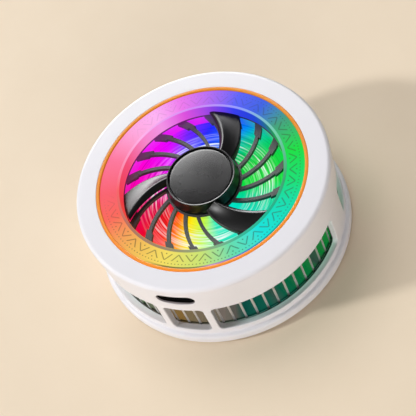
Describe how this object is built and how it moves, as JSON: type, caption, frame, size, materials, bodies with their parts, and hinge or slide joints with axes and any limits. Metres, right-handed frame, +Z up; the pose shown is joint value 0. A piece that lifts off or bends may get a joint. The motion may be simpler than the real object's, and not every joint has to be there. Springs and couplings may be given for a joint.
{
  "type": "phone cooling fan",
  "caption": "Round magnetic phone cooler: lit ring and swept-blade fan over a finned heat sink, with vent windows, a power socket and a cold plate in its base.",
  "frame": {"origin": "centre of the underside, where the pad meets the phone or table", "axes": "+Z up along the fan's axis, -Y towards the power socket"},
  "size_m": [0.0684, 0.0684, 0.0264],
  "materials": {
    "white_plastic": "satin moulded white",
    "accent_plastic": "gloss orange",
    "light_guide": "milky, lit in rainbow colours",
    "circuit_board": "solder mask",
    "led_package": "white",
    "chip_plastic": "black",
    "socket_steel": "drawn",
    "black_plastic": "satin moulded black",
    "cap_plastic": "satin black",
    "screw_steel": "blackened",
    "motor_steel": "stamped",
    "copper_wire": "enamelled wire",
    "bronze": "sintered",
    "magnet": "nickel plated",
    "lit_disc": "clear, lit in rainbow colours",
    "aluminium": "extruded",
    "ceramic": "ceramic white",
    "pellet": "sintered",
    "foam": "closed-cell foam",
    "cold_metal": "polished",
    "silicone": "soft matt"
  },
  "bodies": {
    "case": {"top_cover": "white_plastic", "accent_ring": "accent_plastic", "light_ring": "light_guide", "led_board": "circuit_board", "rgb_leds": "led_package", "board_chips": "chip_plastic", "usb_shell": "socket_steel", "usb_tongue": "chip_plastic", "fan_frame": "black_plastic", "frame_screws": "screw_steel", "motor_board": "circuit_board", "stator_core": "motor_steel", "stator_coils": "copper_wire", "motor_bearing": "bronze", "thrust_pad": "led_package", "light_disc": "lit_disc", "heatsink": "aluminium", "clamp_screws": "screw_steel", "tec_hot_plate": "ceramic", "tec_pellets": "pellet", "tec_cold_plate": "ceramic", "foam_gasket": "foam", "cold_plate": "cold_metal", "vent_housing": "white_plastic", "magnet_ring": "magnet", "magnet_shunt": "motor_steel", "base_cover": "white_plastic", "base_screws": "screw_steel", "silicone_pad": "silicone"},
    "rotor": {"impeller": "black_plastic", "hub_cap": "cap_plastic", "rotor_yoke": "motor_steel", "rotor_magnet": "magnet", "rotor_shaft": "motor_steel"}
  },
  "joints": [
    {"name": "fan_spin", "type": "hinge", "parent": "case", "child": "rotor", "pos_m": [0, 0, 0.0229], "axis": [0, 0, 1], "continuous": true}
  ]
}
